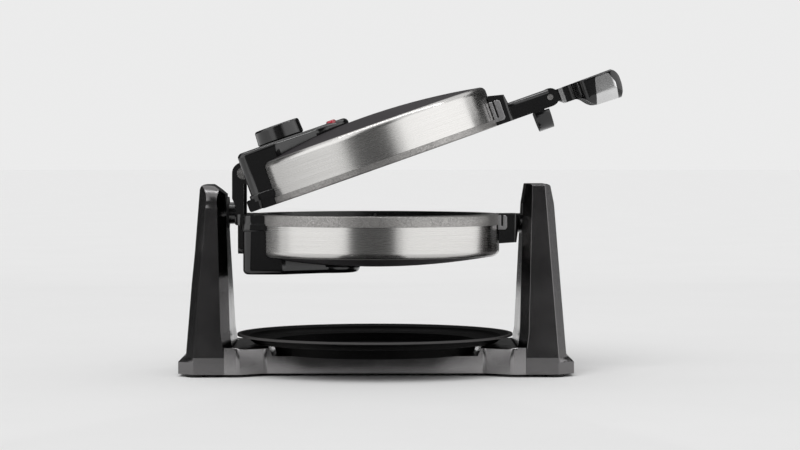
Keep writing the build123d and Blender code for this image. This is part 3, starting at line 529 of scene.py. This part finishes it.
def joinRings(form, low, high):
    for index in range(len(low)):
        after = (index + 1) % len(low)
        form.faces.new((low[index], low[after], high[after], high[index]))


# A latch tab lies on each side of a lug: a cast plate with a slot that is open at the top. Side is
# the lug's face, from the middle plane.

latchTabs = {
    "side": 0.0220, "thickness": 0.0013, "sink": 0.0002, "corner": 0.0016,
    "slotWidth": 0.0016, "slotInset": 0.0028, "slotFoot": 0.0030,
    "edge": 0.0004, "edgeSegments": 3, "edgeCorner": 40.0,  # degrees
    "lowerTab": {
        "body": "head", "onLid": False, "start": 0.1034, "end": 0.1112, "low": 0.1216, "high": 0.1338,
    },
    "upperTab": {
        "body": "lid", "onLid": True, "start": 0.1034, "end": 0.1128, "low": 0.1384, "high": 0.1560,
    },
}


def tabOutline(tab):
    start, end, low, high = (tab[key] for key in ("start", "end", "low", "high"))
    corner = latchTabs["corner"]
    slotStart = start + latchTabs["slotInset"]
    slotEnd = slotStart + latchTabs["slotWidth"]
    slotFoot = low + latchTabs["slotFoot"]
    return [
        (start, low), (end - corner, low), (end, low + corner), (end, high - corner), (end - corner, high),
        (slotEnd, high), (slotEnd, slotFoot), (slotStart, slotFoot), (slotStart, high), (start, high),
    ]


def makeLatchTab(name, tab, side):
    form = bmesh.new()
    inner = side * (latchTabs["side"] - latchTabs["sink"])
    outer = side * (latchTabs["side"] + latchTabs["thickness"])
    rings = [[form.verts.new((x, y, z)) for x, z in tabOutline(tab)] for y in (inner, outer)]
    joinRings(form, *rings)
    for ring in rings:
        form.faces.new(ring)
    bmesh.ops.recalc_face_normals(form, faces=form.faces)
    piece = placePiece(addObject(name, meshOf(name, form)), "castTab", tab["body"], tab["onLid"])
    roundCorners(piece, latchTabs["edge"], latchTabs["edgeSegments"], latchTabs["edgeCorner"])


# Scale round the dial: a ring of ticks and plain numbers, printed on the bracket's face. Every
# fifth tick is longer.

dialScale = {
    "lift": 0.00004, "thickness": 0.00008, "turn": joints["dial_turn"]["range_deg"][1],  # degrees
    "tickFrom": 0.0222, "tickTo": 0.0243, "tickWidth": 0.0005, "steps": 20,
    "longEvery": 5, "longExtra": 0.0008,
    "numbers": 5, "numberRadius": 0.0285, "numberHeight": 0.0042, "sizePerHeight": 1.4,
}


def onDial(share, radius, side=0.0):
    angle = math.radians(dialScale["turn"] * share)
    return (dialMiddle.x + radius * math.cos(angle) - side * math.sin(angle),
            radius * math.sin(angle) + side * math.cos(angle))


def makeTicks():
    form = bmesh.new()
    low = dialMiddle.z + dialScale["lift"]
    half = dialScale["tickWidth"] / 2
    for step in range(dialScale["steps"] + 1):
        inner, outer = dialScale["tickFrom"], dialScale["tickTo"]
        if step % dialScale["longEvery"] == 0:
            outer += dialScale["longExtra"]
        corners = [(inner, -half), (outer, -half), (outer, half), (inner, half)]
        spun = [onDial(step / dialScale["steps"], radius, side) for radius, side in corners]
        under = [form.verts.new((x, y, low)) for x, y in spun]
        over = [form.verts.new((x, y, low + dialScale["thickness"])) for x, y in spun]
        form.faces.new(list(reversed(under)))
        form.faces.new(over)
        joinRings(form, under, over)
    placePiece(addObject("dialTicks", meshOf("dialTicks", form)), "whitePrint", "lid", True)


def makeNumber(index):
    curve = bpy.data.curves.new("dialNumber%d" % (index + 1), "FONT")
    curve.body = str(index + 1)
    curve.size = dialScale["numberHeight"] * dialScale["sizePerHeight"]
    curve.align_x = "CENTER"
    curve.align_y = "CENTER"
    curve.extrude = dialScale["thickness"]
    number = addObject(curve.name, curve)
    x, y = onDial(index / (dialScale["numbers"] - 1), dialScale["numberRadius"])
    z = dialMiddle.z + dialScale["lift"] + dialScale["thickness"]
    number.matrix_basis = Matrix.Translation((x, y, z))
    placePiece(number, "whitePrint", "lid", True)


# Round head screws with a cross slot, under the base

screwSettings = {
    "radius": 0.0034, "rise": 0.0015, "sink": 0.0003, "around": 32, "rings": 6, "topShare": 0.08,
    "slotWidth": 0.0008, "slotLength": 0.0040, "slotDepth": 0.0010,
    "deckX": 0.072, "deckY": 0.032, "towerY": 0.030,
    "turnStep": 0.4,  # radians from one screw's slot to the next one's
}


def ringOf(form, radius, height, count):
    angles = [math.tau * step / count for step in range(count)]
    return [form.verts.new((radius * math.cos(angle), radius * math.sin(angle), height)) for angle in angles]


def screwForm():
    screw = screwSettings
    form = bmesh.new()
    rings = screw["rings"]
    rows = [ringOf(form, screw["radius"], -screw["sink"], screw["around"])]
    for ring in range(rings + 1):
        angle = math.pi / 2 * ring / rings
        share = math.cos(angle) if ring < rings else screw["topShare"]
        rows.append(ringOf(form, screw["radius"] * share, screw["rise"] * math.sin(angle), screw["around"]))
    for low, high in zip(rows, rows[1:]):
        joinRings(form, low, high)
    form.faces.new(rows[-1])
    form.faces.new(list(reversed(rows[0])))
    return form


# The cross is centred on the head's top, so its lower half cuts the slot.
def crossForm():
    screw = screwSettings
    form = bmesh.new()
    top = Matrix.Translation((0.0, 0.0, screw["rise"]))
    for size in ((screw["slotLength"], screw["slotWidth"]), (screw["slotWidth"], screw["slotLength"])):
        bar = top @ Matrix.Diagonal((*size, screw["slotDepth"] * 2, 1.0))
        bmesh.ops.create_cube(form, size=1.0, matrix=bar)
    return form


def makeScrewMesh():
    head = addObject("screwHead", meshOf("screwHead", screwForm()))
    cross = addObject("screwCross", meshOf("screwCross", crossForm()))
    cut = head.modifiers.new("cross", "BOOLEAN")
    cut.object = cross
    cut.operation = "DIFFERENCE"
    cut.solver = "EXACT"
    cut.use_self = True
    bpy.context.view_layer.update()
    made = bpy.data.meshes.new_from_object(head.evaluated_get(bpy.context.evaluated_depsgraph_get()))
    made.materials.clear()
    made.materials.append(finishes["pinSteel"])
    for piece in (head, cross):
        bpy.data.objects.remove(piece)
    return made


def makeBaseScrews():
    screw = screwSettings
    mesh = makeScrewMesh()
    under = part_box("bottom_plate")[0][2]
    towerX = sum(corner[0] for corner in (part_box("front_tower")[1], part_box("base_deck")[1])) / 2
    spots = ((screw["deckX"], screw["deckY"]), (towerX, screw["towerY"]))
    places = [(sx * x, sy * y) for x, y in spots for sx in (1, -1) for sy in (1, -1)]
    for index, (x, y) in enumerate(places):
        piece = addObject("baseScrew%d" % (index + 1), mesh)
        faceDown = Matrix.Translation((x, y, under)) @ Matrix.Rotation(math.pi, 4, "X")
        piece.matrix_world = faceDown @ Matrix.Rotation(screw["turnStep"] * index, 4, "Z")
        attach(piece, "base")


def makePieces():
    for name in ("lowerTab", "upperTab"):
        for side, word in ((-1, "Near"), (1, "Far")):
            makeLatchTab(name + word, latchTabs[name], side)
    print("latch tabs made")
    makeTicks()
    for index in range(dialScale["numbers"]):
        makeNumber(index)
    print("dial scale made")
    makeBaseScrews()
    print("base screws made")


makePieces()


# Studio: a pale floor under a world of nearly its tone, one soft sun and reflection cards

studio = {
    "pale": (0.835, 0.835, 0.835), "skyLight": 0.62,
    "sunStrength": 1.35, "sunAngle": 50.0, "sunTilt": (38.0, -14.0, 0.0),  # degrees
    "floorRadius": 30.0, "floorSegments": 96, "floorColour": (0.86, 0.86, 0.86), "floorDim": 0.985,
    "floorShader": {"Roughness": 0.85, "Specular IOR Level": 0.1}, "floorGrain": 6.0,
}


def makeWorld():
    world = bpy.data.worlds.new("studioWorld")
    scene.world = world
    world.use_nodes = True
    tree = world.node_tree
    tree.nodes.clear()
    lit = addNode(tree, "Background", sockets={"Color": opaque(white), "Strength": studio["skyLight"]})
    seen = addNode(tree, "Background", sockets={"Color": opaque(studio["pale"]), "Strength": 1.0})
    path = addNode(tree, "LightPath")
    direct = mathOf(tree, "MAXIMUM", path.outputs["Is Camera Ray"], path.outputs["Is Glossy Ray"])
    direct = mathOf(tree, "MAXIMUM", direct, path.outputs["Is Transmission Ray"])
    mix = addNode(tree, "MixShader", sockets={0: direct, 1: lit.outputs[0], 2: seen.outputs[0]})
    addNode(tree, "OutputWorld", sockets={"Surface": mix.outputs[0]})


def makeFloor():
    form = bmesh.new()
    bmesh.ops.create_circle(form, cap_ends=True, segments=studio["floorSegments"],
                            radius=studio["floorRadius"])
    floor = addObject("studioFloor", meshOf("studioFloor", form))
    finish, tree, shader = newFinish("paleFloor")
    setShader(shader, studio["floorShader"])
    light = studio["floorColour"]
    dark = tuple(value * studio["floorDim"] for value in light)
    grain = noiseOf(tree, objectPoint(tree), studio["floorGrain"])
    feedShader(tree, shader, {"Base Color": ramp(tree, grain, dark, light)})
    floor.data.materials.append(finish)


def makeSun():
    lamp = bpy.data.lights.new("softSun", "SUN")
    lamp.energy = studio["sunStrength"]
    lamp.angle = math.radians(studio["sunAngle"])
    sun = addObject("softSun", lamp)
    sun.rotation_euler = [math.radians(tilt) for tilt in studio["sunTilt"]]
    sun.visible_glossy = False  # the cards make the reflections


# Cards that only reflections see: softboxes draw the bright bands and flags the dark ones. Turn is
# from the camera's side, positive to the right.

cards = {
    "leftSoftbox": {"turn": -54.0, "width": 1.7, "low": 0.05, "high": 1.6, "away": 1.5, "strength": 1.4},
    "rightSoftbox": {"turn": 66.0, "width": 2.6, "low": 0.05, "high": 1.6, "away": 1.5, "strength": 1.4},
    "cameraFlag": {"turn": -2.5, "width": 1.2, "low": 0.0, "high": 0.5, "away": 1.7, "strength": 0.17},
    "highFlag": {"turn": -2.5, "width": 1.2, "low": 0.5, "high": 2.6, "away": 1.7, "strength": 0.05},
    "backFlag": {"turn": 180.0, "width": 2.0, "low": 0.0, "high": 1.3, "away": 1.5, "strength": 0.05},
    "farFlag": {"turn": 140.0, "width": 1.2, "low": 0.02, "high": 1.4, "away": 1.6, "strength": 0.03},
    "leftFlag": {"turn": -122.0, "width": 1.5, "low": 0.0, "high": 1.5, "away": 1.6, "strength": 0.05},
}

# A narrow strip overhead draws the bright lines along the moulded edges.
topStrip = {"turn": 0.0, "length": 1.6, "width": 0.12, "forward": 0.1, "height": 1.3, "strength": 7.0}

# A dark wedge lies just above the floor in front, where the deck and the steel would mirror the
# pale floor.
floorFlag = {
    "turn": -2.5, "near": 0.10, "nearHalf": 0.055, "far": 1.69, "farHalf": 0.64,
    "lift": 0.001, "strength": 0.03,
}


def standingCorners(card):
    half, away = card["width"] / 2, -card["away"]
    low, high = card["low"], card["high"]
    return [(-half, away, low), (half, away, low), (half, away, high), (-half, away, high)]


def lyingCorners(card):
    near, far, lift = card["near"], card["far"], card["lift"]
    nearHalf, farHalf = card["nearHalf"], card["farHalf"]
    return [(-nearHalf, -near, lift), (nearHalf, -near, lift), (farHalf, -far, lift), (-farHalf, -far, lift)]


def overheadCorners(card):
    half, wide, high = card["length"] / 2, card["width"] / 2, card["height"]
    near, far = -card["forward"] - wide, -card["forward"] + wide
    return [(-half, near, high), (half, near, high), (half, far, high), (-half, far, high)]


def makeCard(name, card, corners):
    mesh = bpy.data.meshes.new(name)
    mesh.from_pydata(corners, [], [(0, 1, 2, 3)])
    finish, tree, glow = newFinish(name, "Emission")
    setShader(glow, {"Color": opaque(white), "Strength": card["strength"]})
    mesh.materials.append(finish)
    piece = addObject(name, mesh)
    piece.rotation_euler.z = math.radians(card["turn"])
    for ray in ("camera", "diffuse", "shadow", "transmission"):
        setattr(piece, "visible_" + ray, False)


def makeStudio():
    makeWorld()
    makeFloor()
    makeSun()
    for name, card in cards.items():
        makeCard(name, card, standingCorners(card))
    makeCard("floorFlag", floorFlag, lyingCorners(floorFlag))
    makeCard("topStrip", topStrip, overheadCorners(topStrip))


makeStudio()
print("studio made")


# Camera at the photograph's place: in front of the machine's middle, a little above the flip axis

cameraPlace = {
    "away": 2.158, "height": 0.184,
    "focalPixels": 2539.0, "pictureWidth": 800.0,
    "tilt": 1.57, "turn": 0.564,  # degrees down and to the right
    "sensor": 36.0, "farClip": 100.0,
}


def makeCamera():
    data = bpy.data.cameras.new("photoCamera")
    data.sensor_width = cameraPlace["sensor"]
    data.lens = cameraPlace["focalPixels"] / cameraPlace["pictureWidth"] * cameraPlace["sensor"]
    data.clip_end = cameraPlace["farClip"]
    camera = addObject("photoCamera", data)
    look = Matrix.Rotation(math.radians(-cameraPlace["turn"]), 4, "Z")
    look = look @ Matrix.Rotation(math.radians(90.0 - cameraPlace["tilt"]), 4, "X")
    camera.matrix_world = Matrix.Translation((0.0, -cameraPlace["away"], cameraPlace["height"])) @ look
    scene.camera = camera


makeCamera()
scene.view_settings.view_transform = "Standard"
print("camera placed")
